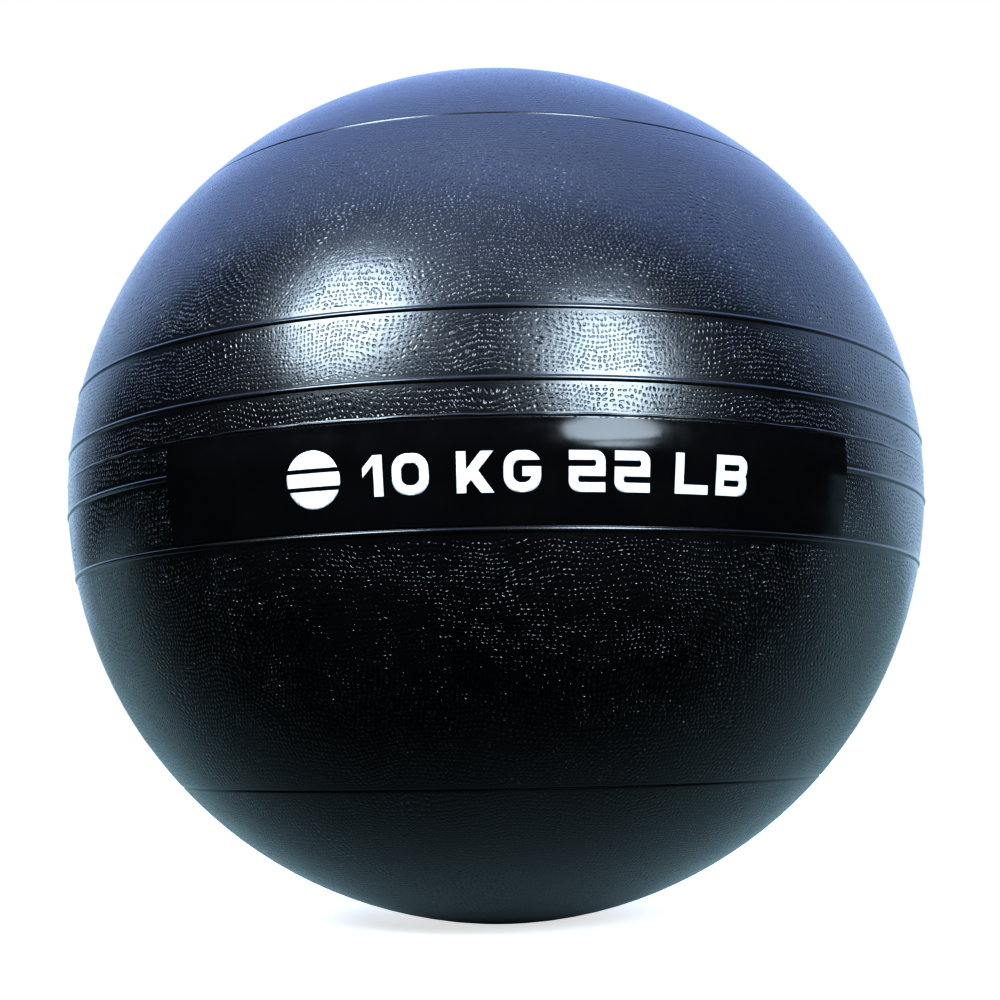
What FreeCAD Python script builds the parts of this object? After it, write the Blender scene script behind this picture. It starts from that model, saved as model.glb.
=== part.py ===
"""Sand-filled medicine ball (slam ball): one moulded shell, its charge, its valve and its label.

Row frame: millimetres, +Z up along the ball's moulding axis, with the valve at the top pole.
The origin is the middle of the flat foot that the ball stands on. The label faces -Y.
Latitudes are degrees above the moulded parting line, measured at the ball's centre.
"""

import FreeCAD
import Part
import math
import os

from FreeCAD import Vector

# ---- the ball -----------------------------------------------------------------------------
BALL_DIAMETER = 230.0
SHELL_WALL = 6.0
FOOT_DIAMETER = 20.0            # flat that the loaded ball stands on

# ---- raised and sunk rings, mirrored about the parting line -------------------------------
INNER_RIB_LATITUDE = 3.9
OUTER_RIB_LATITUDE = 12.0
RIB_WIDTH = 1.5
RIB_HEIGHT = 0.45
CAP_GROOVE_LATITUDE = 42.5
GROOVE_WIDTH = 0.8
GROOVE_DEPTH = 0.35
FLASH_WIDTH = 0.8               # trimmed flash left on the parting line
FLASH_HEIGHT = 0.25

# ---- filling port, moulded at the top pole ------------------------------------------------
PORT_BORE = 16.0
PORT_LEDGE = 4.0                # width of the ledge round the bore that the plug's flange sits on
PORT_REBATE_DEPTH = 3.0         # from the ball's crown down to that ledge
BOSS_WALL = 9.0
BOSS_DEPTH = 15.0               # from the ball's crown down to the boss's inner end
BOSS_TAPER = 5.0                # how far the boss flares where it meets the wall

# ---- valve plug, cemented into the port ---------------------------------------------------
PLUG_CLEARANCE = 0.1            # cement gap, each side
PLUG_LIP_OVERHANG = 1.0         # how far the lip that snaps behind the boss stands out past the bore
PLUG_LIP_HEIGHT = 3.0
PLUG_LIP_LEAD = 1.5             # taper under the lip

# ---- needle valve, pushed into the plug ---------------------------------------------------
CORE_BODY_DIAMETER = 8.0
CORE_CLEARANCE = 0.05
CORE_HEAD_OVERHANG = 1.5        # how far the head stands out past the body
CORE_HEAD_HEIGHT = 2.4
CORE_BULB_OVERHANG = 1.2        # the same for the bulb that holds the valve behind the plug
CORE_BULB_HEIGHT = 5.0
CORE_RECESS = 0.6               # the head lies this far below the plug's face
NEEDLE_DIMPLE_DIAMETER = 3.4    # leads an inflating needle to the duct, which is pinched shut
NEEDLE_DIMPLE_DEPTH = 1.3

# ---- iron-sand charge ---------------------------------------------------------------------
SAND_HEIGHT_ABOVE_CENTRE = 16.0
SAND_CLEARANCE = 0.3

# ---- label: a black vinyl film with white ink on it ---------------------------------------
LABEL_HALF_ANGLE = 41.5         # each side of the front, in longitude
LABEL_EDGE_GAP = 0.35           # bare shell between the film and the flash or rib beside it
LABEL_THICKNESS = 0.25
LABEL_ADHESIVE = 0.05
LABEL_TENT = 2.2                # film standing off the shell each side of the rib it crosses
INK_THICKNESS = 0.08
INK_GAP = 0.01

# ---- white print: a plain ball sign and the ball's weight ---------------------------------
PRINT_END_LONGITUDE = 26.0
WORDS = ("10", "KG", "22", "LB")
CAP_HEIGHT = 8.6
STROKE = 2.0
LETTER_WIDTH = 7.8
ONE_WIDTH = 4.4
LETTER_GAP = 2.0
WORD_GAP = 5.8
BOWL_ROUNDING = 0.42            # corner radius of a round letter, as a share of its height
ROUNDEL_DIAMETER = 12.4
ROUNDEL_SLOT = 0.9
ROUNDEL_SLOT_OFFSET = 1.9
ROUNDEL_GAP = 5.0               # between the roundel and the first figure

# ---- worked out ---------------------------------------------------------------------------
RADIUS = BALL_DIAMETER / 2
PRINT_LATITUDE = -OUTER_RIB_LATITUDE / 2
BORE_RADIUS = PORT_BORE / 2
REBATE_RADIUS = BORE_RADIUS + PORT_LEDGE
BOSS_RADIUS = BORE_RADIUS + BOSS_WALL
CORE_BODY_RADIUS = CORE_BODY_DIAMETER / 2
CORE_HEAD_RADIUS = CORE_BODY_RADIUS + CORE_HEAD_OVERHANG
CORE_BULB_RADIUS = CORE_BODY_RADIUS + CORE_BULB_OVERHANG
FOOT_RADIUS = FOOT_DIAMETER / 2
CENTRE_Z = math.sqrt(RADIUS ** 2 - FOOT_RADIUS ** 2)
INNER_RADIUS = RADIUS - SHELL_WALL
CROWN_Z = CENTRE_Z + RADIUS
REBATE_FLOOR_Z = CROWN_Z - PORT_REBATE_DEPTH
BOSS_END_Z = CROWN_Z - BOSS_DEPTH
FILM_INNER = LABEL_ADHESIVE
FILM_OUTER = LABEL_ADHESIVE + LABEL_THICKNESS
PRISM_FRONT = -1.2 * RADIUS     # a glyph's prism runs back from here, through the ball's surface
PRISM_DEPTH = 0.4 * RADIUS
UP = Vector(0, 0, 1)
ORIGIN = Vector(0, 0, 0)


def at(latitude, radius):
    """A point of the XZ half plane, at a latitude in degrees and a distance from the centre."""
    turn = math.radians(latitude)
    return Vector(radius * math.cos(turn), 0, CENTRE_Z + radius * math.sin(turn))


def on_circle(x, radius, side=1):
    """The point of a circle about the centre that lies x from the axis, above it or below."""
    return Vector(x, 0, CENTRE_Z + side * math.sqrt(radius ** 2 - x ** 2))


def latitude_of(point):
    """The latitude of a point of the XZ half plane, in degrees."""
    return math.degrees(math.atan2(point.z - CENTRE_Z, point.x))


def span(width):
    """The angle in degrees that a width takes up along the ball's surface."""
    return math.degrees(width / RADIUS)


def line(start, end):
    return Part.LineSegment(start, end).toShape()


def arc(start, middle, end):
    return Part.Arc(start, middle, end).toShape()


def arc_about_centre(start, end):
    """An arc about the ball's centre, between two points of one circle."""
    radius = (start - Vector(0, 0, CENTRE_Z)).Length
    return arc(start, at((latitude_of(start) + latitude_of(end)) / 2, radius), end)


def revolved(edges, angle=360.0):
    """The solid made by turning a closed outline of the XZ half plane about the ball's axis."""
    wire = Part.Wire(Part.__sortEdges__(edges))
    return Part.Face(wire).revolve(ORIGIN, UP, angle)


def outline(points):
    """Straight edges round a list of (distance from the axis, height) points."""
    corners = [Vector(x, 0, z) for x, z in points]
    return [line(a, b) for a, b in zip(corners, corners[1:] + corners[:1])]


# ---- shell --------------------------------------------------------------------------------
def bead(latitude, width, height):
    """A raised round bead on the ball's surface: its edges, its first point and its last."""
    half = span(width) / 2
    start, end = at(latitude - half, RADIUS), at(latitude + half, RADIUS)
    return [arc(start, at(latitude, RADIUS + height), end)], start, end


def groove(latitude, width, depth):
    """A sunk V groove in the ball's surface: its edges, its first point and its last."""
    half = span(width) / 2
    start, end = at(latitude - half, RADIUS), at(latitude + half, RADIUS)
    bottom = at(latitude, RADIUS - depth)
    return [line(start, bottom), line(bottom, end)], start, end


def surface_features():
    """Every ring moulded in the surface, from the bottom pole to the top one."""
    rings = [groove(-CAP_GROOVE_LATITUDE, GROOVE_WIDTH, GROOVE_DEPTH)]
    for latitude in (-OUTER_RIB_LATITUDE, -INNER_RIB_LATITUDE):
        rings.append(bead(latitude, RIB_WIDTH, RIB_HEIGHT))
    rings.append(bead(0.0, FLASH_WIDTH, FLASH_HEIGHT))
    for latitude in (INNER_RIB_LATITUDE, OUTER_RIB_LATITUDE):
        rings.append(bead(latitude, RIB_WIDTH, RIB_HEIGHT))
    rings.append(groove(CAP_GROOVE_LATITUDE, GROOVE_WIDTH, GROOVE_DEPTH))
    return rings


def shell():
    """The one-piece moulded shell, with its rings, its foot and the boss round its port."""
    foot_edge = Vector(FOOT_RADIUS, 0, 0)
    edges = [line(ORIGIN, foot_edge)]
    last = foot_edge
    for ring_edges, start, end in surface_features():
        edges.append(arc_about_centre(last, start))
        edges.extend(ring_edges)
        last = end
    rebate_top = on_circle(REBATE_RADIUS, RADIUS)
    edges.append(arc_about_centre(last, rebate_top))
    rebate_floor = Vector(REBATE_RADIUS, 0, REBATE_FLOOR_Z)
    bore_top = Vector(BORE_RADIUS, 0, REBATE_FLOOR_Z)
    bore_end = Vector(BORE_RADIUS, 0, BOSS_END_Z)
    boss_end = Vector(BOSS_RADIUS, 0, BOSS_END_Z)
    boss_root = on_circle(BOSS_RADIUS + BOSS_TAPER, INNER_RADIUS)
    inner_pole = Vector(0, 0, CENTRE_Z - INNER_RADIUS)
    path = [rebate_top, rebate_floor, bore_top, bore_end, boss_end, boss_root]
    edges.extend(line(a, b) for a, b in zip(path, path[1:]))
    edges.append(arc(boss_root, at(0, INNER_RADIUS), inner_pole))
    edges.append(line(inner_pole, ORIGIN))
    return revolved(edges)


# ---- charge -------------------------------------------------------------------------------
def sand_charge():
    """The settled iron sand: the inside of the shell up to a level top."""
    radius = INNER_RADIUS - SAND_CLEARANCE
    level = CENTRE_Z + SAND_HEIGHT_ABOVE_CENTRE
    rim = Vector(math.sqrt(radius ** 2 - SAND_HEIGHT_ABOVE_CENTRE ** 2), 0, level)
    bottom = Vector(0, 0, CENTRE_Z - radius)
    middle_latitude = (latitude_of(rim) - 90.0) / 2
    top = Vector(0, 0, level)
    return revolved([arc(bottom, at(middle_latitude, radius), rim), line(rim, top), line(top, bottom)])


# ---- valve --------------------------------------------------------------------------------
def valve_plug():
    """The plug that closes the filling port, with a seat for the needle valve down its middle."""
    flange_radius = REBATE_RADIUS - PLUG_CLEARANCE
    stem_radius = BORE_RADIUS - PLUG_CLEARANCE
    lip_radius = BORE_RADIUS + PLUG_LIP_OVERHANG
    flange_floor = REBATE_FLOOR_Z + PLUG_CLEARANCE
    lip_top = BOSS_END_Z - PLUG_CLEARANCE
    lip_end = lip_top - PLUG_LIP_HEIGHT
    seat_radius = CORE_HEAD_RADIUS + CORE_CLEARANCE
    seat_floor = CROWN_Z - CORE_RECESS - CORE_HEAD_HEIGHT
    bore_radius = CORE_BODY_RADIUS + CORE_CLEARANCE
    flange_top = on_circle(flange_radius, RADIUS)
    seat_top = on_circle(seat_radius, RADIUS)
    path = [seat_top,
            Vector(seat_radius, 0, seat_floor),
            Vector(bore_radius, 0, seat_floor),
            Vector(bore_radius, 0, lip_end),
            Vector(lip_radius - PLUG_LIP_LEAD, 0, lip_end),
            Vector(lip_radius, 0, lip_top - PLUG_LIP_HEIGHT / 2),
            Vector(lip_radius, 0, lip_top),
            Vector(stem_radius, 0, lip_top),
            Vector(stem_radius, 0, flange_floor),
            Vector(flange_radius, 0, flange_floor),
            flange_top]
    edges = [line(a, b) for a, b in zip(path, path[1:])]
    edges.append(arc_about_centre(flange_top, seat_top))
    return revolved(edges)


def valve_core():
    """The butyl needle valve: a head with a dimple for the needle, a body and a bulb."""
    top = CROWN_Z - CORE_RECESS
    head_floor = top - CORE_HEAD_HEIGHT + CORE_CLEARANCE
    plug_end = BOSS_END_Z - PLUG_CLEARANCE - PLUG_LIP_HEIGHT
    bulb_top = plug_end - CORE_CLEARANCE
    bulb_end = bulb_top - CORE_BULB_HEIGHT
    return revolved(outline([
        (0, top - NEEDLE_DIMPLE_DEPTH),
        (NEEDLE_DIMPLE_DIAMETER / 2, top),
        (CORE_HEAD_RADIUS, top),
        (CORE_HEAD_RADIUS, head_floor),
        (CORE_BODY_RADIUS, head_floor),
        (CORE_BODY_RADIUS, bulb_top),
        (CORE_BULB_RADIUS, bulb_top),
        (CORE_BULB_RADIUS, bulb_top - CORE_BULB_HEIGHT / 3),
        (CORE_BODY_RADIUS / 2, bulb_end),
        (0, bulb_end),
    ]))


# ---- label --------------------------------------------------------------------------------
def label_layer(inner, outer):
    """A layer over the label's patch of shell, between two heights above the shell's surface.

    It tents over the rib that the label crosses, as stuck film does.
    """
    top = -span(FLASH_WIDTH / 2 + LABEL_EDGE_GAP)
    bottom = -OUTER_RIB_LATITUDE + span(RIB_WIDTH / 2 + LABEL_EDGE_GAP)
    tent = span(RIB_WIDTH / 2 + LABEL_TENT)

    def upper_edges(height):
        radius = RADIUS + height
        points = [at(top, radius), at(-INNER_RIB_LATITUDE + tent, radius),
                  at(-INNER_RIB_LATITUDE, radius + RIB_HEIGHT),
                  at(-INNER_RIB_LATITUDE - tent, radius), at(bottom, radius)]
        made = [arc_about_centre(points[0], points[1]), arc(points[1], points[2], points[3]),
                arc_about_centre(points[3], points[4])]
        return made, points[0], points[-1]

    outside, outside_top, outside_bottom = upper_edges(outer)
    inside, inside_top, inside_bottom = upper_edges(inner)
    ends = [line(outside_top, inside_top), line(outside_bottom, inside_bottom)]
    layer = revolved(outside + inside + ends, 2 * LABEL_HALF_ANGLE)
    layer.rotate(ORIGIN, UP, -90.0 - LABEL_HALF_ANGLE)
    return layer


def label_film():
    """The black vinyl film, stuck between the parting line and the lower outer rib."""
    return label_layer(FILM_INNER, FILM_OUTER)


# ---- print: glyphs are prisms through the front of the ball, with (0, 0) at their lower left
def block(x, z, width, height):
    """A bar of a glyph, or a piece to cut away from one."""
    return Part.makeBox(width, PRISM_DEPTH, height, Vector(x, PRISM_FRONT, z))


def round_block(x, z, width, height, round_left=True):
    """A bar with the corners of its right side rounded, and of its left side if asked for."""
    made = block(x, z, width, height)
    corners = []
    for edge in made.Edges:
        runs_deep = edge.BoundBox.YLength > PRISM_DEPTH / 2
        if runs_deep and (round_left or edge.BoundBox.XMin > x + width / 2):
            corners.append(edge)
    return made.makeFillet(BOWL_ROUNDING * min(width, height), corners)


def hollow(x, z, width, height, round_left=True):
    """A rounded bar with a counter cut out of it."""
    counter = round_block(x + STROKE, z + STROKE, width - 2 * STROKE, height - 2 * STROKE, round_left)
    return round_block(x, z, width, height, round_left).cut(counter)


def prism(points):
    """A straight-sided glyph, from its outline."""
    corners = [Vector(x, PRISM_FRONT, z) for x, z in points]
    return Part.Face(Part.makePolygon(corners + corners[:1])).extrude(Vector(0, PRISM_DEPTH, 0))


def joined(solids):
    return solids[0].multiFuse(solids[1:]).removeSplitter()


def glyph_1():
    """A one: a stem with a slanting flag."""
    stem = ONE_WIDTH - STROKE
    return prism([(stem, 0), (ONE_WIDTH, 0), (ONE_WIDTH, CAP_HEIGHT), (stem, CAP_HEIGHT),
                  (0, CAP_HEIGHT - 1.3 * STROKE), (0, CAP_HEIGHT - 2.3 * STROKE),
                  (stem, CAP_HEIGHT - STROKE)])


def glyph_0():
    return hollow(0, 0, LETTER_WIDTH, CAP_HEIGHT)


def glyph_2():
    """A two: an upper bowl open on its left, over a lower one open on its right."""
    half = (CAP_HEIGHT + STROKE) / 2
    upper = hollow(0, CAP_HEIGHT - half, LETTER_WIDTH, half, False)
    lower = hollow(-LETTER_WIDTH, -half, LETTER_WIDTH, half, False)
    lower.rotate(Vector(0, 0, 0), Vector(0, 1, 0), 180)
    upper_mouth = block(0, CAP_HEIGHT - half + STROKE, STROKE, half - 2 * STROKE)
    lower_mouth = block(LETTER_WIDTH - STROKE, STROKE, STROKE, half - 2 * STROKE)
    return joined([upper.cut(upper_mouth), lower.cut(lower_mouth)])


def glyph_g():
    """A G: a nought with its right side opened, and a bar into it."""
    middle = (CAP_HEIGHT - STROKE) / 2
    mouth = block(LETTER_WIDTH / 2, middle + STROKE, LETTER_WIDTH, middle - STROKE)
    tongue = block(LETTER_WIDTH / 2, middle, LETTER_WIDTH / 2, STROKE)
    return joined([glyph_0().cut(mouth), tongue])


def glyph_k():
    """A K: a stem, an arm to the upper right and a leg to the lower right."""
    arm = 1.35 * STROKE
    return prism([(0, 0), (STROKE, 0), (STROKE, CAP_HEIGHT * 0.18), (STROKE * 1.5, CAP_HEIGHT * 0.31),
                  (LETTER_WIDTH - arm, 0), (LETTER_WIDTH, 0), (LETTER_WIDTH * 0.58, CAP_HEIGHT * 0.54),
                  (LETTER_WIDTH, CAP_HEIGHT), (LETTER_WIDTH - arm, CAP_HEIGHT),
                  (STROKE, CAP_HEIGHT * 0.56), (STROKE, CAP_HEIGHT), (0, CAP_HEIGHT)])


def glyph_l():
    return joined([block(0, 0, STROKE, CAP_HEIGHT), block(0, 0, LETTER_WIDTH, STROKE)])


def glyph_b():
    half = (CAP_HEIGHT + STROKE) / 2
    return joined([hollow(0, 0, LETTER_WIDTH, half, False),
                   hollow(0, CAP_HEIGHT - half, LETTER_WIDTH, half, False)])


GLYPHS = {"0": glyph_0, "1": glyph_1, "2": glyph_2, "K": glyph_k, "G": glyph_g, "L": glyph_l,
          "B": glyph_b}


def roundel():
    """A disc crossed by two slots, the plain sign of a ribbed ball."""
    radius = ROUNDEL_DIAMETER / 2
    disc = Part.makeCylinder(radius, PRISM_DEPTH, Vector(radius, PRISM_FRONT, radius), Vector(0, 1, 0))
    for offset in (-ROUNDEL_SLOT_OFFSET, ROUNDEL_SLOT_OFFSET):
        disc = disc.cut(block(-1, radius + offset - ROUNDEL_SLOT / 2, ROUNDEL_DIAMETER + 2, ROUNDEL_SLOT))
    return disc


def placed_glyphs():
    """Each glyph as (its prism, its width, its height, the longitude of its middle)."""
    advance = 0.0
    row = []
    for word in WORDS:
        for sign in word:
            width = ONE_WIDTH if sign == "1" else LETTER_WIDTH
            row.append((GLYPHS[sign](), width, CAP_HEIGHT, advance + width / 2))
            advance += width + LETTER_GAP
        advance += WORD_GAP - LETTER_GAP
    length = advance - WORD_GAP
    row.append((roundel(), ROUNDEL_DIAMETER, ROUNDEL_DIAMETER, -ROUNDEL_GAP - ROUNDEL_DIAMETER / 2))
    return [(glyph, width, height, PRINT_END_LONGITUDE + span(middle - length))
            for glyph, width, height, middle in row]


def label_print():
    """The white ink: every glyph cut out of one thin layer on the film."""
    ink = label_layer(FILM_OUTER + INK_GAP, FILM_OUTER + INK_GAP + INK_THICKNESS)
    middle_z = at(PRINT_LATITUDE, RADIUS).z
    solids = []
    for glyph, width, height, longitude in placed_glyphs():
        glyph.translate(Vector(-width / 2, 0, middle_z - height / 2))
        glyph.rotate(ORIGIN, UP, longitude)
        solids.extend(ink.common(glyph).Solids)
    return Part.makeCompound(solids)


NODES = {
    "shell": shell,
    "sand_charge": sand_charge,
    "valve_plug": valve_plug,
    "valve_core": valve_core,
    "label_film": label_film,
    "label_print": label_print,
}

os.makedirs("parts", exist_ok=True)
for name, make in NODES.items():
    shape = make()
    if not shape.isValid():
        raise ValueError(name + " isn't a valid shape")
    shape.exportStep(os.path.join("parts", name + ".step"))
    print(name, len(shape.Solids), "solids", round(shape.Volume / 1000, 2), "cm3")
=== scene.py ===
"""Looks of the sand-filled medicine ball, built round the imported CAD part.

Metres, +Z up, the label faces -Y. Sizes named _MM are millimetres on the ball's surface.
Latitudes and longitudes are degrees about the ball's centre: latitude 0 is the moulded parting
line, longitude 0 is the middle of the label, and longitude grows towards +X.
"""

import math

import bmesh
import bpy
import numpy as np
from mathutils import Matrix, Vector


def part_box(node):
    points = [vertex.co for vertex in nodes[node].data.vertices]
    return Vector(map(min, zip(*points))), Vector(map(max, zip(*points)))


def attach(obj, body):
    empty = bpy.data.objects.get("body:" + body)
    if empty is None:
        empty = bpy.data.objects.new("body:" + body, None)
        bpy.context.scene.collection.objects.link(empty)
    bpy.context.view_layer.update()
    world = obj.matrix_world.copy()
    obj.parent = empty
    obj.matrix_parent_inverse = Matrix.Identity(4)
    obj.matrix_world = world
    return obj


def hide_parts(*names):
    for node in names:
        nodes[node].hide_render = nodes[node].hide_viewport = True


MM = 0.001
WHITE = (1.0, 1.0, 1.0, 1.0)
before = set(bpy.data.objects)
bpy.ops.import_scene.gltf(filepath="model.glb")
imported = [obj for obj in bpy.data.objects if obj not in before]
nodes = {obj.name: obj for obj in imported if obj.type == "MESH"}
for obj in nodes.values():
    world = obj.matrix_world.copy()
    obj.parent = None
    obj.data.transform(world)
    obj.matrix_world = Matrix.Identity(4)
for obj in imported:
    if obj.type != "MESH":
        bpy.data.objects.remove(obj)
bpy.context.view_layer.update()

# ---- the ball, measured from the CAD boxes ------------------------------------------------
FLASH_HEIGHT_MM = 0.25          # the flash stands out furthest, so the shell's box reaches its top
shell_low, shell_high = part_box("shell")
RADIUS = (shell_high.x - shell_low.x) / 2 - FLASH_HEIGHT_MM * MM
FOOT_RADIUS_MM = 10.0
CENTRE_Z = math.sqrt(RADIUS ** 2 - (FOOT_RADIUS_MM * MM) ** 2)
CROWN_Z = CENTRE_Z + RADIUS
RADIUS_MM = RADIUS / MM
DEGREES_PER_MM = math.degrees(1 / RADIUS_MM)
WALL_MM = 6.0

# ---- rings ---------------------------------------------------------------------------------
INNER_RIB_LATITUDE = 3.9
OUTER_RIB_LATITUDE = 12.0
RIB_HEIGHT_MM = 0.45            # in CAD
SEEN_RIB_WIDTH_MM = 1.3         # the rib as modelled here, a little inside its CAD bead
SEEN_RIB_HEIGHT_MM = 0.34
FLASH_WIDTH_MM = 0.5            # the flash as modelled here, thinner than its CAD bead
FLASH_WANDER_MM = 0.26          # from its furthest down to its furthest up
GROOVE_LATITUDE = 42.5
GROOVE_WIDTH_MM = 0.8
GROOVE_DEPTH_MM = 0.35
SMOOTH_STRIP_MM = 0.5           # grain starts this far from a ring
GRAIN_RAMP_MM = 1.1             # and is full this much further on
FLASH_STRIP_MM = 0.2            # the same two for the parting line
FLASH_RAMP_MM = 0.5

# ---- port ------------------------------------------------------------------------------------
REBATE_RADIUS_MM = 12.0
REBATE_DEPTH_MM = 3.0
BORE_RADIUS_MM = 8.0
BOSS_DEPTH_MM = 15.0
BOSS_RADIUS_MM = 17.0
BOSS_TAPER_MM = 5.0
RIM_ROUND_MM = 0.35             # the rounded edge of the port in the ball's outside

# ---- label -----------------------------------------------------------------------------------
LABEL_HALF_ANGLE = 41.5
LABEL_TOP = -0.75 * DEGREES_PER_MM
LABEL_BOTTOM = -OUTER_RIB_LATITUDE + 1.1 * DEGREES_PER_MM
FILM_INNER_MM = 0.05
FILM_THICKNESS_MM = 0.25
SEEN_FILM_MM = 0.14              # the film as modelled here, thinner than in CAD
TENT_HALF_MM = 2.95             # half the width of the CAD film's lift over the rib
SEEN_TENT_HALF_MM = 7.0         # here the film eases over the rib more gently
SEEN_TENT_MM = 0.36             # and stands this far off the wall at the rib's middle

FILM_COLUMNS, FILM_ROWS = 420, 64
SHARP_DEGREES = 40.0            # film edges sharper than this are shaded as corners
PRINT_EDGE_MM = 0.8             # longest edge of the print, so that it bends with the film

# ---- divisions of the shell's mesh -------------------------------------------------------------
SHELL_LONGITUDES = 504
ROW_STEP = 2.6                  # degrees between plain rows of the outside
ROW_CLEARANCE = 0.9             # degrees that a plain row keeps from a ring's own rows
LOWEST_ROW = -84.0
FOOT_RINGS_MM = (1.2, 4.0, 7.5)
INSIDE_ROWS = 20


# ---- noise and small helpers -------------------------------------------------------------------
def wave_noise(points, wavelength, count, seed):
    """Smooth noise of about -1 to 1 at points (n by 3, mm): sines along seeded directions."""
    draw = np.random.default_rng(seed)
    directions = draw.normal(size=(count, 3))
    directions /= np.linalg.norm(directions, axis=1)[:, None]
    lengths = wavelength * draw.uniform(0.7, 1.5, count)
    phases = draw.uniform(0, 2 * math.pi, count)
    waves = np.sin(points @ (directions / lengths[:, None]).T * 2 * math.pi + phases)
    return waves.sum(axis=1) / math.sqrt(count) / 1.3


def ring_noise(count, smallest_wave, seed):
    """Seamless noise of 0 to 1 round a ring of count points, down to smallest_wave points long."""
    draw = np.random.default_rng(seed)
    spectrum = np.zeros(count // 2 + 1, complex)
    last = int(count / smallest_wave)
    spectrum[1:last] = draw.normal(size=last - 1) + 1j * draw.normal(size=last - 1)
    values = np.fft.irfft(spectrum, count)
    ranks = values.argsort().argsort()
    return ranks / (count - 1)


def smooth(low, high, value):
    """0 below low, 1 above high, and a smooth step in between."""
    share = np.clip((np.asarray(value, float) - low) / (high - low), 0, 1)
    return share * share * (3 - 2 * share)


def unit_direction(latitude, longitude):
    """The outward direction at latitude and longitude, as an array whose last axis is x, y, z."""
    lat, lon = np.radians(latitude), np.radians(longitude)
    lat, lon = np.broadcast_arrays(lat, lon)
    return np.stack([np.cos(lat) * np.sin(lon), -np.cos(lat) * np.cos(lon), np.sin(lat)], axis=-1)


def undulation(direction):
    """Height of the moulded wall over the true sphere, in mm: it rolls a little, always below."""
    points = direction.reshape(-1, 3) * RADIUS_MM
    rolling = wave_noise(points, 55.0, 7, 5) * 0.05 + wave_noise(points, 22.0, 9, 6) * 0.016
    mean, most = -0.11, 0.1
    return (mean + np.clip(rolling, -most, most)).reshape(direction.shape[:-1])


def on_sphere(latitude, longitude, above_mm):
    """Points above_mm over the moulded wall, in metres."""
    direction = unit_direction(latitude, longitude)
    radius = RADIUS_MM + above_mm + undulation(direction)
    points = direction * radius[..., None] * MM
    points[..., 2] += CENTRE_Z
    return points


def add_object(name, data):
    """A new object of that data, in the scene."""
    made = bpy.data.objects.new(name, data)
    bpy.context.scene.collection.objects.link(made)
    return made


def make_object(name, vertices, faces, material, attributes=()):
    """A smooth-shaded mesh object that rides on the ball's one body."""
    mesh = bpy.data.meshes.new(name)
    mesh.from_pydata([tuple(v) for v in vertices], [], faces)
    for key, values in attributes:
        layer = mesh.attributes.new(key, "FLOAT", "POINT")
        layer.data.foreach_set("value", np.asarray(values, np.float32))
    mesh.polygons.foreach_set("use_smooth", [True] * len(mesh.polygons))
    mesh.validate()
    mesh.update()
    made = add_object(name, mesh)
    mesh.materials.append(material)
    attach(made, "root")
    return made


def revolve_faces(rows, around):
    """Quads between rings of a revolved mesh, with a fan at each pole vertex (first and last)."""
    faces = []
    last = 1 + rows * around
    for i in range(around):
        after = (i + 1) % around
        faces.append((0, 1 + after, 1 + i))
        faces.append((last, last - around + i, last - around + after))
    for row in range(rows - 1):
        base = 1 + row * around
        for i in range(around):
            after = (i + 1) % around
            faces.append((base + i, base + after, base + around + after, base + around + i))
    return faces


# ---- node trees --------------------------------------------------------------------------------
class Tree:
    """A node tree, with short calls for its nodes."""

    def __init__(self, owner):
        owner.use_nodes = True
        self.tree = owner.node_tree
        self.tree.nodes.clear()

    def node(self, kind, inputs=(), **settings):
        made = self.tree.nodes.new(kind)
        for key, value in settings.items():
            setattr(made, key, value)
        for key, value in dict(inputs).items():
            self.put(made.inputs[key], value)
        return made

    def put(self, socket, value):
        if isinstance(value, bpy.types.NodeSocket):
            self.tree.links.new(value, socket)
        else:
            socket.default_value = value

    def math(self, operation, *values):
        made = self.node("ShaderNodeMath", operation=operation)
        for socket, value in zip(made.inputs, values):
            self.put(socket, value)
        return made.outputs[0]

    def vector(self, operation, *values):
        made = self.node("ShaderNodeVectorMath", operation=operation)
        for socket, value in zip(made.inputs, values):
            self.put(socket, value)
        gives_number = operation in ("DOT_PRODUCT", "LENGTH")
        return made.outputs["Value" if gives_number else "Vector"]

    def scaled(self, vector, factor):
        made = self.node("ShaderNodeVectorMath", {0: vector, "Scale": factor}, operation="SCALE")
        return made.outputs[0]

    def white(self, vector):
        """The three random numbers of a cell."""
        made = self.node("ShaderNodeTexWhiteNoise", {"Vector": vector}, noise_dimensions="3D")
        return self.node("ShaderNodeSeparateColor", {"Color": made.outputs["Color"]}).outputs

    def ramp(self, value, low, high, out_low=0.0, out_high=1.0, kind="SMOOTHSTEP"):
        made = self.node("ShaderNodeMapRange", interpolation_type=kind)
        for key, given in (("Value", value), ("From Min", low), ("From Max", high),
                           ("To Min", out_low), ("To Max", out_high)):
            self.put(made.inputs[key], given)
        return made.outputs[0]

    def noise(self, vector, scale, detail=2.0, roughness=0.5):
        made = self.node("ShaderNodeTexNoise", {"Vector": vector, "Scale": scale, "Detail": detail,
                                                "Roughness": roughness})
        return made.outputs["Fac"]

    def colours(self, factor, stops):
        """A colour ramp through (place, (r, g, b)) stops."""
        made = self.node("ShaderNodeValToRGB", {"Fac": factor})
        elements = made.color_ramp.elements
        while len(elements) < len(stops):
            elements.new(0.5)
        for element, (place, colour) in zip(elements, stops):
            element.position = place
            element.color = (*colour, 1.0)
        return made.outputs["Color"]

    def bump(self, height, distance, normal=None):
        given = {"Height": height, "Distance": distance, "Strength": 1.0}
        if normal is not None:
            given["Normal"] = normal
        return self.node("ShaderNodeBump", given).outputs["Normal"]


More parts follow.
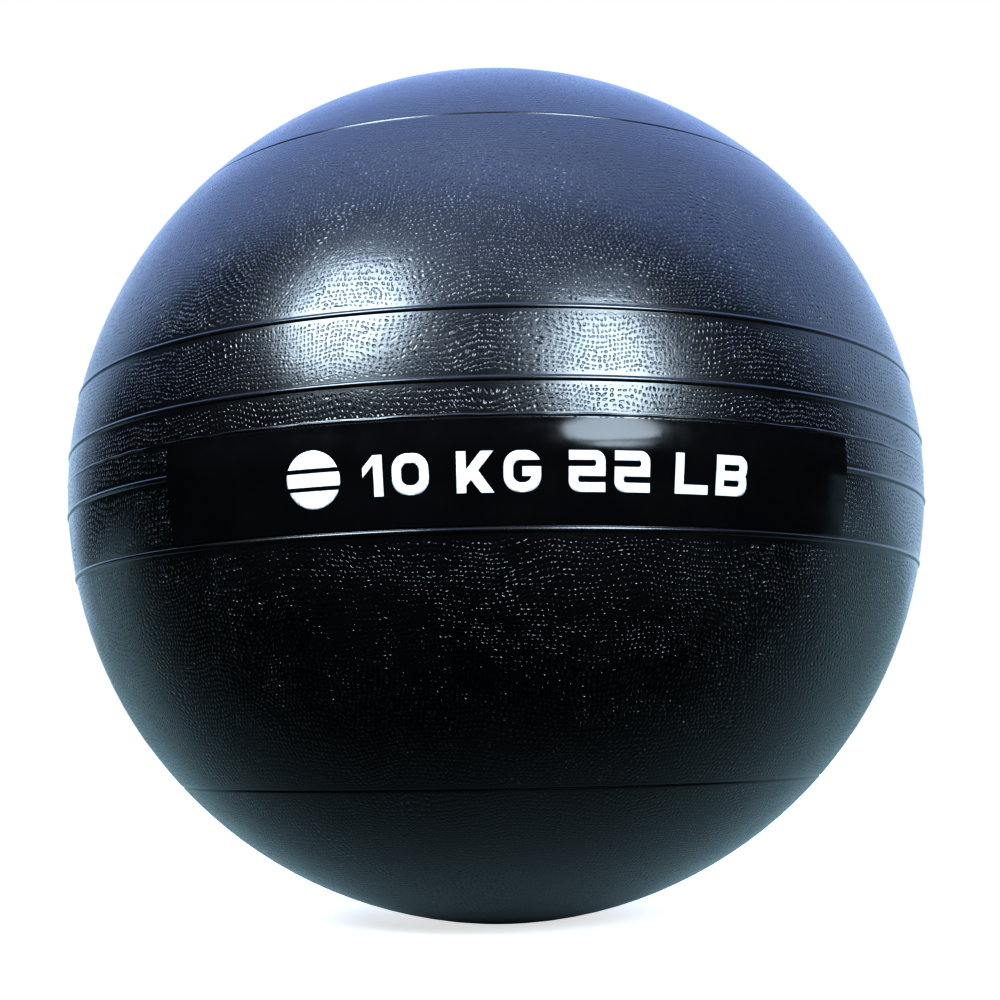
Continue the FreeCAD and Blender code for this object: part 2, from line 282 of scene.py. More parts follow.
def new_material(name):
    """A material with an empty tree, its Principled shader and its object coordinates."""
    material = bpy.data.materials.new(name)
    tree = Tree(material)
    shader = tree.node("ShaderNodeBsdfPrincipled")
    output = tree.node("ShaderNodeOutputMaterial")
    tree.tree.links.new(shader.outputs["BSDF"], output.inputs["Surface"])
    place = tree.node("ShaderNodeTexCoord").outputs["Object"]
    return material, tree, shader, place


# ---- materials ---------------------------------------------------------------------------------
GRAIN_PITCH_MM = 1.15
GRAIN_DEPTH = 0.00017
GRAIN_WANDER = 9.0              # cells that a row wanders up and down, and a column from side to side
GRAIN_STAGGER = 0.618           # of a cell, from each row to the next
PIT_JITTER = 0.28               # of a cell, from one side to the other
PIT_STRETCH = 0.75              # the longest pits are this much longer than wide
PIT_RADIUS = (0.19, 0.32)       # of a cell, smallest and largest
PIT_STRENGTH = (0.3, 1.0)


def grain_cells(tree, outward):
    """Rows of cells about the ball: the place in the cell, across and up, and random numbers."""
    x, y, z = tree.node("ShaderNodeSeparateXYZ", {"Vector": outward}).outputs
    latitude = tree.math("ARCSINE", z)
    longitude = tree.math("ARCTAN2", x, y)
    rows_per_radian = RADIUS_MM / GRAIN_PITCH_MM
    wander = tree.node("ShaderNodeTexNoise", {"Vector": outward, "Scale": 5.5, "Detail": 1.5})
    up, aside, _ = tree.node("ShaderNodeSeparateColor", {"Color": wander.outputs["Color"]}).outputs
    row_shift = tree.math("MULTIPLY_ADD", up, GRAIN_WANDER, -GRAIN_WANDER / 2)
    column_shift = tree.math("MULTIPLY_ADD", aside, GRAIN_WANDER, -GRAIN_WANDER / 2)
    row_place = tree.math("MULTIPLY_ADD", latitude, rows_per_radian, row_shift)
    row = tree.math("FLOOR", row_place)
    # a whole number of cells in each row, so that the rows close behind the ball
    row_latitude = tree.math("DIVIDE", row, rows_per_radian)
    around = tree.math("MULTIPLY", tree.math("COSINE", row_latitude), 2 * math.pi * rows_per_radian)
    cells = tree.math("MAXIMUM", tree.math("ROUND", around), 1.0)
    turn = tree.math("DIVIDE", longitude, 2 * math.pi)
    stagger = tree.math("MULTIPLY", row, GRAIN_STAGGER)
    column_place = tree.math("ADD", tree.math("MULTIPLY_ADD", turn, cells, column_shift), stagger)
    column = tree.math("FLOORED_MODULO", tree.math("FLOOR", column_place), cells)
    random = []
    for layer in (0.5, 7.5):
        cell = tree.node("ShaderNodeCombineXYZ", {"X": column, "Y": row, "Z": layer}).outputs[0]
        random.extend(tree.white(cell))
    across = tree.math("SUBTRACT", tree.math("FRACT", column_place), 0.5)
    along = tree.math("SUBTRACT", tree.math("FRACT", row_place), 0.5)
    return across, along, random


def grain_height(tree, place):
    """Moulded leather grain: rows of pits that wander, each with its own place, shape and depth."""
    outward = tree.vector("NORMALIZE", tree.vector("SUBTRACT", place, (0.0, 0.0, CENTRE_Z)))
    across, along, random = grain_cells(tree, outward)
    aside, up, turn, longer, wider, deeper = random
    border = tree.math("MAXIMUM", tree.math("ABSOLUTE", across), tree.math("ABSOLUTE", along))
    inside = tree.ramp(border, 0.5, 0.4)
    u = tree.math("ADD", across, tree.math("MULTIPLY_ADD", aside, PIT_JITTER, -PIT_JITTER / 2))
    v = tree.math("ADD", along, tree.math("MULTIPLY_ADD", up, PIT_JITTER, -PIT_JITTER / 2))
    angle = tree.math("MULTIPLY", turn, math.pi)
    sine, cosine = tree.math("SINE", angle), tree.math("COSINE", angle)
    a = tree.math("ADD", tree.math("MULTIPLY", u, cosine), tree.math("MULTIPLY", v, sine))
    b = tree.math("SUBTRACT", tree.math("MULTIPLY", v, cosine), tree.math("MULTIPLY", u, sine))
    stretch = tree.math("MULTIPLY_ADD", longer, PIT_STRETCH, 1.0)
    a = tree.math("DIVIDE", a, stretch)
    b = tree.math("MULTIPLY", b, tree.math("SQRT", stretch))
    squares = tree.math("ADD", tree.math("POWER", a, 2.0), tree.math("POWER", b, 2.0))
    smallest, largest = PIT_RADIUS
    pit_radius = tree.math("MULTIPLY_ADD", wider, largest - smallest, smallest)
    share = tree.math("DIVIDE", tree.math("SQRT", squares), pit_radius)
    pit = tree.ramp(share, 1.25, 0.4)
    weakest, strongest = PIT_STRENGTH
    strength = tree.math("MULTIPLY_ADD", deeper, strongest - weakest, weakest)
    pit = tree.math("MULTIPLY", tree.math("MULTIPLY", pit, strength), inside)
    patch = tree.ramp(tree.noise(outward, 14.0, 2.0), 0.3, 0.65, 0.55, 1.0)
    return tree.math("MULTIPLY", tree.math("MULTIPLY", pit, patch), -1.0)


def vinyl_material():
    """Black moulded PVC: leather grain where the mould has it, and faint mottling."""
    material, tree, shader, place = new_material("vinyl_black")
    grain = tree.node("ShaderNodeAttribute", attribute_name="grain").outputs["Fac"]
    fine = tree.noise(place, 2600.0, 2.0, 0.6)
    skin = tree.noise(place, 420.0, 3.0, 0.55)
    mottle = tree.noise(place, 45.0, 4.0, 0.6)
    pits = tree.math("MULTIPLY", grain_height(tree, place), grain)
    fine_bump = tree.bump(tree.math("MULTIPLY", fine, grain), 0.000018)
    skin_bump = tree.bump(skin, 0.00003, fine_bump)
    tree.put(shader.inputs["Normal"], tree.bump(pits, GRAIN_DEPTH, skin_bump))
    colour = tree.colours(mottle, [(0.3, (0.0015, 0.0017, 0.0022)), (0.7, (0.0028, 0.0031, 0.0039))])
    tree.put(shader.inputs["Base Color"], colour)
    tree.put(shader.inputs["Roughness"], tree.ramp(mottle, 0.3, 0.7, 0.21, 0.27))
    shader.inputs["Specular IOR Level"].default_value = 0.9
    return material


def film_material():
    """Glossy black vinyl film, with the faint orange peel of its adhesive."""
    material, tree, shader, place = new_material("film_gloss_black")
    peel = tree.noise(place, 380.0, 2.0, 0.5)
    smear = tree.noise(place, 60.0, 4.0, 0.65)
    tree.put(shader.inputs["Normal"], tree.bump(peel, 0.000006))
    colour = tree.colours(smear, [(0.3, (0.0022, 0.0023, 0.0027)), (0.7, (0.004, 0.0042, 0.0048))])
    tree.put(shader.inputs["Base Color"], colour)
    tree.put(shader.inputs["Roughness"], tree.ramp(smear, 0.35, 0.7, 0.09, 0.17))
    shader.inputs["Specular IOR Level"].default_value = 0.33
    return material


def ink_material():
    """White screen ink, very slightly uneven."""
    material, tree, shader, place = new_material("ink_white")
    cover = tree.noise(place, 900.0, 3.0, 0.6)
    colour = tree.colours(cover, [(0.3, (0.86, 0.87, 0.88)), (0.6, (0.93, 0.94, 0.95))])
    tree.put(shader.inputs["Base Color"], colour)
    tree.put(shader.inputs["Normal"], tree.bump(cover, 0.00001))
    tree.put(shader.inputs["Roughness"], tree.ramp(cover, 0.3, 0.7, 0.32, 0.46))
    return material


def rubber_material(name, dark, light, rough_low, rough_high, bump_depth):
    """Moulded rubber, with a fine matt skin and bloom in patches."""
    material, tree, shader, place = new_material(name)
    skin = tree.noise(place, 1500.0, 4.0, 0.6)
    bloom = tree.noise(place, 160.0, 4.0, 0.6)
    colour = tree.colours(bloom, [(0.35, dark), (0.7, light)])
    tree.put(shader.inputs["Base Color"], colour)
    tree.put(shader.inputs["Normal"], tree.bump(skin, bump_depth))
    tree.put(shader.inputs["Roughness"], tree.ramp(bloom, 0.3, 0.7, rough_low, rough_high))
    return material


def sand_material():
    """Iron sand: dark grains with a few pale and rusty ones among them."""
    material, tree, shader, place = new_material("iron_sand")
    grains = tree.node("ShaderNodeTexVoronoi", {"Vector": place, "Scale": 1400.0})
    pick = tree.node("ShaderNodeSeparateColor", {"Color": grains.outputs["Color"]})
    colour = tree.colours(pick.outputs[0], [(0.0, (0.02, 0.019, 0.02)), (0.55, (0.055, 0.05, 0.048)),
                                            (0.85, (0.12, 0.07, 0.045)), (1.0, (0.24, 0.22, 0.2))])
    tree.put(shader.inputs["Base Color"], colour)
    tree.put(shader.inputs["Normal"], tree.bump(grains.outputs["Distance"], -0.0004))
    tree.put(shader.inputs["Roughness"], tree.ramp(pick.outputs[1], 0.0, 1.0, 0.35, 0.8))
    shader.inputs["Metallic"].default_value = 0.3
    return material


# ---- shell -------------------------------------------------------------------------------------
def bead_height(offset_mm, width_mm, height_mm):
    """Height of a bead with a broad top, at a distance from its middle."""
    share = abs(offset_mm) / (width_mm / 2)
    if share >= 1:
        return 0.0
    return height_mm * (1 - share ** 2.6) ** 0.9


def ring_rows(latitude, offsets_mm, height_of, kind,
              strip_mm=SMOOTH_STRIP_MM, ramp_mm=GRAIN_RAMP_MM):
    """Rows of one ring: (latitude, height above the wall in mm, grain share, kind)."""
    rows = []
    for offset in offsets_mm:
        rows.append((latitude + offset * DEGREES_PER_MM, height_of(offset), 0.0, kind))
    reach = offsets_mm[-1] + strip_mm
    for side in (-1, 1):
        rows.append((latitude + side * reach * DEGREES_PER_MM, 0.0, 0.0, "wall"))
        full = side * (reach + ramp_mm)
        rows.append((latitude + full * DEGREES_PER_MM, 0.0, 1.0, "wall"))
    return rows


def rib_rows(latitude):
    """Rows of one raised rib."""
    half = SEEN_RIB_WIDTH_MM / 2
    steps = (-1.12, -1.0, -0.94, -0.84, -0.66, -0.3, 0.0, 0.3, 0.66, 0.84, 0.94, 1.0, 1.12)
    offsets = [half * step for step in steps]
    height_of = lambda offset: bead_height(offset, SEEN_RIB_WIDTH_MM, SEEN_RIB_HEIGHT_MM)
    return ring_rows(latitude, offsets, height_of, "wall")


def flash_rows():
    """Rows of the flash along the parting line."""
    half = FLASH_WIDTH_MM / 2
    offsets = [half * step for step in (-1.25, -0.9, -0.5, 0.0, 0.5, 0.9, 1.25)]
    height_of = lambda offset: bead_height(offset, FLASH_WIDTH_MM, FLASH_HEIGHT_MM)
    return ring_rows(0.0, offsets, height_of, "flash", FLASH_STRIP_MM, FLASH_RAMP_MM)


def groove_rows(latitude):
    """Rows of one scribed ring, from (share of the half width, share of the depth)."""
    half = GROOVE_WIDTH_MM / 2
    depths = ((-1.3, 0.0), (-1.0, 0.04), (-0.5, 0.5), (-0.15, 0.95), (0.15, 0.95), (0.5, 0.5),
              (1.0, 0.04), (1.3, 0.0))
    rows = []
    for step, depth in depths:
        rows.append((latitude + step * half * DEGREES_PER_MM, -depth * GROOVE_DEPTH_MM, 0.0, "wall"))
    for side in (-1, 1):
        for reach_mm, share in ((1.0, 0.3), (1.8, 1.0)):
            rows.append((latitude + side * reach_mm * DEGREES_PER_MM, 0.0, share, "wall"))
    return rows


def outer_rows():
    """Every row of the shell's outside, from the foot's edge up to the port's rim."""
    foot_latitude = -math.degrees(math.asin(CENTRE_Z / RADIUS))
    rim_latitude = math.degrees(math.acos((REBATE_RADIUS_MM + RIM_ROUND_MM) / RADIUS_MM))
    rows = []
    ribs = (-OUTER_RIB_LATITUDE, -INNER_RIB_LATITUDE, INNER_RIB_LATITUDE, OUTER_RIB_LATITUDE)
    for latitude in ribs:
        rows.extend(rib_rows(latitude))
    rows.extend(flash_rows())
    for latitude in (-GROOVE_LATITUDE, GROOVE_LATITUDE):
        rows.extend(groove_rows(latitude))
    for reach_mm, share in ((0.0, 0.0), (1.5, 0.0), (3.0, 1.0)):
        rows.append((rim_latitude - reach_mm * DEGREES_PER_MM, 0.0, share, "wall"))
    rows.append((foot_latitude, 0.0, 1.0, "foot"))
    taken = [row[0] for row in rows]
    for latitude in np.arange(LOWEST_ROW, rim_latitude, ROW_STEP):
        if min(abs(latitude - other) for other in taken) > ROW_CLEARANCE:
            rows.append((float(latitude), 0.0, 1.0, "wall"))
    return sorted(rows)


def level_ring(radius_mm, height):
    """A level ring of the shell's mesh; the height is in metres."""
    lon = np.radians(np.arange(SHELL_LONGITUDES) * 360.0 / SHELL_LONGITUDES)
    x, y = radius_mm * MM * np.sin(lon), -radius_mm * MM * np.cos(lon)
    return np.stack([x, y, np.full(SHELL_LONGITUDES, height)], axis=-1)


def outside_rings():
    """The rings of the outside, each with its grain share, from the foot up to the port's rim."""
    around = SHELL_LONGITUDES
    longitude = np.arange(around) * 360.0 / around
    ragged = 0.2 + 0.8 * ring_noise(around, 4, 31) * ring_noise(around, 60, 32) ** 0.4
    wander = (ring_noise(around, 7, 33) - 0.5) * FLASH_WANDER_MM * DEGREES_PER_MM
    rings = [(level_ring(radius_mm, 0.0), 1.0) for radius_mm in FOOT_RINGS_MM]
    for latitude, height, share, kind in outer_rows():
        if kind == "foot":
            rings.append((level_ring(FOOT_RADIUS_MM, 0.0), share))
            continue
        if kind == "flash":
            latitude, height = latitude + wander, height * ragged
        direction = unit_direction(latitude, longitude)
        above_foot = smooth(-84.5, -78.0, latitude)     # the wall is a true sphere next to the foot
        radius = RADIUS_MM + height + undulation(direction) * above_foot
        points = direction * radius[:, None] * MM
        points[:, 2] += CENTRE_Z
        rings.append((points, share))
    return rings


def inside_rings():
    """The rings of the port, of the boss behind it and of the shell's inside, top to bottom."""
    floor = CROWN_Z - REBATE_DEPTH_MM * MM
    boss_end = CROWN_Z - BOSS_DEPTH_MM * MM
    rim_top = CENTRE_Z + math.sqrt(RADIUS ** 2 - (REBATE_RADIUS_MM * MM) ** 2)
    inner = RADIUS_MM - WALL_MM
    root_radius = BOSS_RADIUS_MM + BOSS_TAPER_MM
    root_z = CENTRE_Z + math.sqrt(inner ** 2 - root_radius ** 2) * MM
    chamfer = 0.3
    port = [(REBATE_RADIUS_MM + 0.1, rim_top - 0.12 * MM),
            (REBATE_RADIUS_MM, rim_top - RIM_ROUND_MM * MM),
            (REBATE_RADIUS_MM, floor + 0.05 * MM), (REBATE_RADIUS_MM - 0.05, floor),
            (BORE_RADIUS_MM + chamfer, floor), (BORE_RADIUS_MM, floor - chamfer * MM),
            (BORE_RADIUS_MM, boss_end + chamfer * MM), (BORE_RADIUS_MM + chamfer, boss_end),
            (BOSS_RADIUS_MM - 1.0, boss_end), (BOSS_RADIUS_MM, boss_end + 1.0 * MM),
            (BOSS_RADIUS_MM + 1.0, boss_end + 3.0 * MM), (root_radius, root_z)]
    rings = [level_ring(radius_mm, height) for radius_mm, height in port]
    root_latitude = math.degrees(math.acos(root_radius / inner))
    for latitude in np.linspace(root_latitude - 6.0, -87.0, INSIDE_ROWS):
        turn = math.radians(latitude)
        rings.append(level_ring(inner * math.cos(turn), CENTRE_Z + inner * math.sin(turn) * MM))
    return rings


def shell_piece(material):
    """The whole shell as one closed surface: foot, outside, port, boss and inside."""
    outside, inside = outside_rings(), inside_rings()
    rings = [ring for ring, _ in outside] + inside
    lowest_inside = (0, 0, CENTRE_Z - (RADIUS_MM - WALL_MM) * MM)
    vertices = np.concatenate([[(0, 0, 0)], *rings, [lowest_inside]])
    grain = [np.full(SHELL_LONGITUDES, share) for _, share in outside]
    smooth_part = np.zeros(SHELL_LONGITUDES * len(inside) + 1)
    shares = np.concatenate([[1.0], *grain, smooth_part])
    faces = revolve_faces(len(rings), SHELL_LONGITUDES)
    piece = make_object("ball_shell", vertices, faces, material, [("grain", shares)])
    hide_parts("shell")


# ---- label film and print ------------------------------------------------------------------------
def tent(latitude):
    """How far the film lifts to clear the rib it crosses, in mm."""
    offset = np.abs(latitude + INNER_RIB_LATITUDE) / DEGREES_PER_MM
    share = np.clip(offset / SEEN_TENT_HALF_MM, 0, 1)
    return SEEN_TENT_MM * np.cos(share * math.pi / 2) ** 2


def crease(latitude, longitude, start, end, height_mm, width_mm):
    """A pinched fold of the film, running between two (longitude, latitude) ends."""
    cosine = math.cos(math.radians(INNER_RIB_LATITUDE))
    a = np.array([start[0] * cosine, start[1]]) / DEGREES_PER_MM
    b = np.array([end[0] * cosine, end[1]]) / DEGREES_PER_MM
    run = b - a
    px = longitude * cosine / DEGREES_PER_MM - a[0]
    py = latitude / DEGREES_PER_MM - a[1]
    along = np.clip((px * run[0] + py * run[1]) / (run @ run), 0, 1)
    away = np.hypot(px - along * run[0], py - along * run[1])
    taper = np.sin(np.clip(along, 0.02, 0.98) * math.pi) ** 0.5
    return height_mm * taper * np.exp(-(away / width_mm) ** 2)


CREASES = (
    ((6.5, -2.55), (15.5, -2.2), 0.05, 0.8),
    ((-38.5, -1.6), (-26.0, -2.6), 0.03, 1.1),
    ((32.0, -6.4), (34.5, -5.6), 0.04, 0.6),
    ((-40.0, -9.5), (-36.0, -6.5), 0.04, 1.2),
    ((-12.0, -10.7), (2.0, -10.5), 0.02, 0.8),
)


def film_relief(latitude, longitude):
    """Height of the film's outside over the wall, in mm, on top of the film's own thickness."""
    direction = unit_direction(latitude, longitude)
    points = direction.reshape(-1, 3) * RADIUS_MM
    slack = wave_noise(points, 16.0, 8, 12).reshape(direction.shape[:-1])
    edge = np.minimum(LABEL_TOP - latitude, latitude - LABEL_BOTTOM) / DEGREES_PER_MM
    relief = 0.014 * (1 + slack) * smooth(0.0, 3.0, edge)
    for start, end, height, width in CREASES:
        fold = crease(latitude, longitude, start, end, height, width)
        relief = relief + fold * smooth(0.2, 1.2, edge)
    return relief


def film_piece(material):
    """The label film: a thin closed sheet that follows the wall and lifts over the rib."""
    columns, rows = FILM_COLUMNS, FILM_ROWS
    lat = np.linspace(LABEL_BOTTOM, LABEL_TOP, rows)[:, None]
    lon = np.linspace(-LABEL_HALF_ANGLE, LABEL_HALF_ANGLE, columns)[None, :]
    lat, lon = np.broadcast_arrays(lat, lon)
    corner = smooth(0.0, 1.6, (LABEL_HALF_ANGLE - np.abs(lon)) / DEGREES_PER_MM)
    lift = tent(lat) + film_relief(lat, lon) * corner
    outer = on_sphere(lat, lon, FILM_INNER_MM + SEEN_FILM_MM + lift)
    inner = on_sphere(lat, lon, FILM_INNER_MM + lift)
    vertices = np.concatenate([outer.reshape(-1, 3), inner.reshape(-1, 3)])
    count = rows * columns
    faces = []
    for i in range(rows - 1):
        for j in range(columns - 1):
            a = i * columns + j
            faces.append((a, a + 1, a + columns + 1, a + columns))
            faces.append((count + a, count + a + columns, count + a + columns + 1, count + a + 1))
    border = list(range(columns))
    border += [i * columns + columns - 1 for i in range(1, rows)]
    border += [(rows - 1) * columns + j for j in range(columns - 2, -1, -1)]
    border += [i * columns for i in range(rows - 2, 0, -1)]
    for a, b in zip(border, border[1:] + border[:1]):
        faces.append((b, a, count + a, count + b))
    piece = make_object("label_film_sheet", vertices, faces, material)
    piece.data.set_sharp_from_angle(angle=math.radians(SHARP_DEGREES))
    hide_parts("label_film")


def cad_tent(latitude):
    """The CAD film's own lift over the rib, an arc, in mm."""
    half = TENT_HALF_MM
    bend = (half ** 2 + RIB_HEIGHT_MM ** 2) / (2 * RIB_HEIGHT_MM)
    offset = np.abs(latitude + INNER_RIB_LATITUDE) / DEGREES_PER_MM
    inside = np.sqrt(np.maximum(bend ** 2 - np.minimum(offset, half) ** 2, 0)) - (bend - RIB_HEIGHT_MM)
    return np.where(offset < half, inside, 0.0)


def halve_long_edges(work, longest):
    """Halves each edge over that length, and the triangles beside it, starting with the longest."""
    lengths = sorted(((edge.calc_length(), edge.index, edge) for edge in work.edges), reverse=True)
    for length, _, edge in lengths:
        if length <= longest:
            break
        sides = []
        for face in edge.link_faces:
            sides.append((face, next(v for v in face.verts if v not in edge.verts)))
        middle = bmesh.utils.edge_split(edge, edge.verts[0], 0.5)[1]
        for face, opposite in sides:
            bmesh.utils.face_split(face, middle, opposite)
    work.edges.index_update()


def lay_on_film(mesh):
    """Moves a mesh's points from the CAD film's outside to this film's."""
    flat = np.zeros(len(mesh.vertices) * 3)
    mesh.vertices.foreach_get("co", flat)
    points = flat.reshape(-1, 3) - (0, 0, CENTRE_Z)
    radius = np.linalg.norm(points, axis=1)
    direction = points / radius[:, None]
    lat = np.degrees(np.arcsin(direction[:, 2]))
    lon = np.degrees(np.arctan2(direction[:, 0], -direction[:, 1]))
    change = tent(lat) - cad_tent(lat) + film_relief(lat, lon) + undulation(direction)
    change = change - (FILM_THICKNESS_MM - SEEN_FILM_MM)
    moved = direction * (radius + change * MM)[:, None] + (0, 0, CENTRE_Z)
    mesh.vertices.foreach_set("co", moved.ravel())
    mesh.update()


def print_piece(material):
    """The CAD print, divided finely and laid onto the film's relief."""
    work = bmesh.new()
    work.from_mesh(nodes["label_print"].data)
    same_place = 0.00000002
    bmesh.ops.remove_doubles(work, verts=work.verts, dist=same_place)
    bmesh.ops.triangulate(work, faces=work.faces)
    for _ in range(5):
        halve_long_edges(work, PRINT_EDGE_MM * MM)
    mesh = bpy.data.meshes.new("label_print_ink")
    work.to_mesh(mesh)
    work.free()
    lay_on_film(mesh)
    piece = add_object("label_print_ink", mesh)
    mesh.materials.clear()
    mesh.materials.append(material)
    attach(piece, "root")
    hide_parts("label_print")


# ---- valve and charge ----------------------------------------------------------------------------
def crown_z(radius_mm, sink_mm=0.0):
    """Height of a point radius_mm from the axis and sink_mm under the ball's outside."""
    return CENTRE_Z + math.sqrt(RADIUS_MM ** 2 - radius_mm ** 2) * MM - sink_mm * MM


def turned_ring(name, outline, around, material, ragged_mm=0.0, seed=1):
    """A closed turned part with a hole down its middle, from its outline's (radius mm, height m)."""
    lon = np.arange(around) * 2 * math.pi / around
    rings = []
    for row, (radius_mm, height) in enumerate(outline):
        shift = (ring_noise(around, 9, seed + row) - 0.5) * ragged_mm * MM
        radius = radius_mm * MM + shift
        level = height + shift * 0.5
        rings.append(np.stack([radius * np.sin(lon), -radius * np.cos(lon), level], -1))
    faces = []
    count = len(rings)
    for row in range(count):
        this, after = row * around, (row + 1) % count * around
        for i in range(around):
            j = (i + 1) % around
            faces.append((this + i, this + j, after + j, after + i))
    return make_object(name, np.concatenate(rings), faces, material)


def turned_solid(name, outline, around, material):
    """A closed turned part whose first and last points lie on the axis."""
    lon = np.arange(around) * 2 * math.pi / around
    rings = []
    for radius_mm, height in outline[1:-1]:
        radius = radius_mm * MM
        level = np.full(around, height)
        rings.append(np.stack([radius * np.sin(lon), -radius * np.cos(lon), level], -1))
    ends = [[(0, 0, outline[0][1])], [(0, 0, outline[-1][1])]]
    vertices = np.concatenate([ends[0], *rings, ends[1]])
    return make_object(name, vertices, revolve_faces(len(rings), around), material)


def plug_piece(material):
    """The plug: crowned face with a moulded ring, chamfered edges, stem and snap lip."""
    flange, stem, lip, seat, bore = 11.9, 7.9, 9.0, 5.55, 4.05
    flange_floor = CROWN_Z - (REBATE_DEPTH_MM - 0.1) * MM
    lip_top = CROWN_Z - (BOSS_DEPTH_MM + 0.1) * MM
    seat_floor = CROWN_Z - 3.0 * MM
    outline = [(bore, lip_top - 3.0 * MM), (lip - 1.7, lip_top - 3.0 * MM),
               (lip - 1.2, lip_top - 2.7 * MM), (lip - 0.05, lip_top - 1.5 * MM),
               (lip, lip_top - 1.3 * MM), (lip, lip_top - 0.3 * MM),
               (lip - 0.25, lip_top), (stem, lip_top), (stem, flange_floor - 0.3 * MM),
               (stem + 0.3, flange_floor), (flange - 0.3, flange_floor),
               (flange, flange_floor + 0.3 * MM)]
    face = ((flange, 0.75), (11.8, 0.4), (11.55, 0.16), (11.2, 0.05), (10.4, 0.02), (9.7, 0.02),
            (9.5, 0.06), (9.35, 0.24), (9.2, 0.34), (9.05, 0.24), (8.9, 0.06), (8.7, 0.02), (7.6, 0.02),
            (6.7, 0.02), (6.3, 0.05), (6.0, 0.14), (5.75, 0.32), (5.6, 0.6), (seat, 0.9))
    outline += [(radius, crown_z(radius, sink)) for radius, sink in face]
    outline += [(seat, seat_floor + 0.1 * MM), (seat - 0.1, seat_floor), (bore + 0.2, seat_floor),
                (bore, seat_floor - 0.2 * MM)]
    piece = turned_ring("valve_plug_body", outline, 144, material)
    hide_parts("valve_plug")


def cement_piece(material):
    """The bead of cement squeezed out round the plug's flange."""
    outline = [(11.96, crown_z(12, 0.5)), (12.12, crown_z(12, 0.3)), (12.24, crown_z(12, 0.13)),
               (12.1, crown_z(12, 0.1)), (11.95, crown_z(12, 0.16)), (11.8, crown_z(12, 0.2)),
               (11.62, crown_z(12, 0.12)), (11.74, crown_z(12, 0.32)), (11.86, crown_z(12, 0.46))]
    piece = turned_ring("plug_cement_bead", outline, 288, material, 0.07, 50)


def core_piece(material):
    """The needle valve: head with a lipped needle dimple, body and holding bulb."""
    top = CROWN_Z - 0.6 * MM
    head, body, bulb = 5.5, 4.0, 5.2
    head_floor = top - 2.35 * MM
    bulb_top = CROWN_Z - (BOSS_DEPTH_MM + 3.15) * MM
    outline = [(0, bulb_top - 5.0 * MM), (1.4, bulb_top - 5.0 * MM), (2.0, bulb_top - 4.85 * MM),
               (3.2, bulb_top - 3.6 * MM), (4.4, bulb_top - 2.3 * MM), (5.05, bulb_top - 1.6 * MM),
               (bulb, bulb_top - 1.2 * MM), (bulb, bulb_top - 0.3 * MM), (bulb - 0.3, bulb_top),
               (body, bulb_top), (body, head_floor), (head - 0.2, head_floor),
               (head, head_floor + 0.2 * MM), (head, top - 0.45 * MM), (5.38, top - 0.2 * MM),
               (5.1, top - 0.1 * MM), (4.2, top - 0.1 * MM), (4.05, top - 0.22 * MM),
               (3.85, top - 0.26 * MM), (3.65, top - 0.22 * MM), (3.5, top - 0.1 * MM),
               (2.5, top - 0.08 * MM), (2.2, top - 0.01 * MM), (1.9, top), (1.66, top - 0.04 * MM),
               (1.45, top - 0.24 * MM), (1.0, top - 0.58 * MM), (0.55, top - 0.9 * MM),
               (0.35, top - 1.1 * MM), (0.2, top - 1.24 * MM), (0, top - 1.29 * MM)]
    piece = turned_solid("valve_core_body", outline, 96, material)
    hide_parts("valve_core")


def sand_piece(material):
    """The settled charge: it fills the shell's inside, under an uneven top."""
    around = 200
    radius = RADIUS_MM - WALL_MM - 0.3
    top_mm, rim_mm = 14.9, 14.5     # mean height of the top over the ball's centre, and its rim's
    most = 1.0                      # that the top rises or dips
    lon = np.arange(around) * 2 * math.pi / around
    rings = []
    for latitude in np.linspace(-88.5, math.degrees(math.asin(rim_mm / radius)), 56):
        direction = unit_direction(latitude, np.degrees(lon))
        dents = (1 + wave_noise(direction * radius, 14.0, 9, 71)) * 0.12
        points = direction * (radius - np.clip(dents, 0, 0.5))[:, None] * MM
        rings.append(points + (0, 0, CENTRE_Z))
    rim_radius = math.sqrt(radius ** 2 - rim_mm ** 2)
    for share in np.linspace(0.985, 0.02, 44):
        x, y = rim_radius * share * np.sin(lon), -rim_radius * share * np.cos(lon)
        flat = np.stack([x, y, np.zeros(around)], -1)
        heap = wave_noise(flat, 60.0, 6, 72) * 0.6 + wave_noise(flat, 13.0, 9, 73) * 0.25
        height = top_mm + np.clip(heap, -most, most)
        rings.append(np.stack([x, y, height], -1) * MM + (0, 0, CENTRE_Z))
    bottom = [(0, 0, CENTRE_Z - radius * MM)]
    top = [(0, 0, CENTRE_Z + top_mm * MM)]
    vertices = np.concatenate([bottom, *rings, top])
    piece = make_object("sand_fill", vertices, revolve_faces(len(rings), around), material)
    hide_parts("sand_charge")


def make_ball():
    """Every piece of the ball, each with its own material."""
    shell_piece(vinyl_material())
    film_piece(film_material())
    print_piece(ink_material())
    plug_piece(rubber_material("plug_rubber_black", (0.008, 0.008, 0.009), (0.016, 0.016, 0.017),
                               0.42, 0.58, 0.00003))
    cement_piece(rubber_material("cement_dark", (0.012, 0.011, 0.01), (0.03, 0.027, 0.023),
                                 0.18, 0.35, 0.00001))
    core_piece(rubber_material("valve_rubber_grey", (0.03, 0.03, 0.032), (0.055, 0.055, 0.058),
                               0.5, 0.65, 0.00002))
    sand_piece(sand_material())


# ---- camera --------------------------------------------------------------------------------------
CAMERA_AZIMUTH, CAMERA_ELEVATION, CAMERA_ROLL = -2.0, -8.5, -1.1
CAMERA_DISTANCE = 3.9           # ball radii from the ball's centre
SENSOR_MM = 36.0
LENS_MM = 58.14
BALL_LEFT, BALL_UP = 0.0036, 0.004      # of the frame's width, from its middle to the ball's centre


